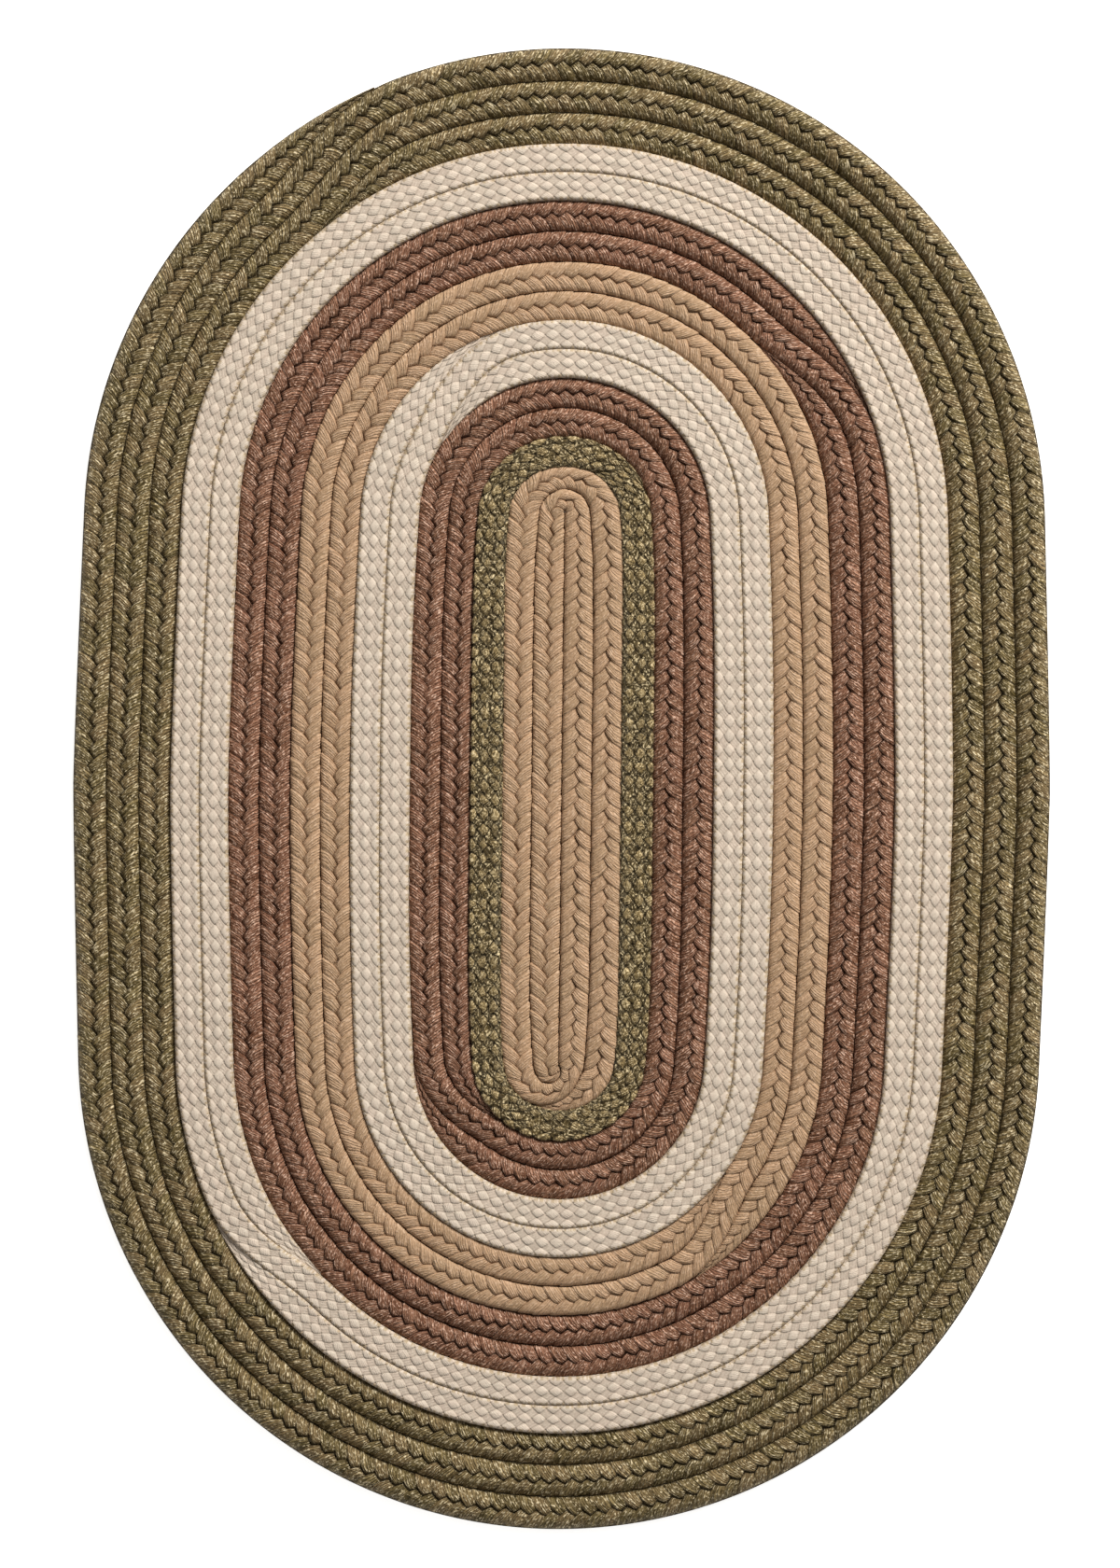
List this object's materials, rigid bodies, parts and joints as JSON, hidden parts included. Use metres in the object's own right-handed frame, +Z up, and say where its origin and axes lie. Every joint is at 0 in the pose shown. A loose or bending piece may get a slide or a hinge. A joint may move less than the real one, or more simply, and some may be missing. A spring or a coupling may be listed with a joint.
{
  "type": "braided rug",
  "caption": "Flat oval rug of flattened yarn braids coiled outward from a straight centre seam and laced together in coloured bands.",
  "frame": {"origin": "under the middle of the rug, at the level of the floor", "axes": "+Y along the rug's length and its centre seam, +X across its width, +Z up out of the floor"},
  "size_m": [0.6098, 0.925, 0.01],
  "materials": {
    "tan_yarn": "matte braided yarn",
    "green_yarn": "matte heathered braided yarn",
    "brown_yarn": "matte braided yarn",
    "cream_yarn": "matte fine flat braid",
    "olive_yarn": "matte braided yarn"
  },
  "bodies": {
    "root": {"centre_tan": "tan_yarn", "inner_green": "green_yarn", "inner_brown": "brown_yarn", "inner_cream": "cream_yarn", "middle_tan": "tan_yarn", "outer_brown": "brown_yarn", "outer_cream": "cream_yarn", "border_olive": "olive_yarn"}
  },
  "joints": []
}
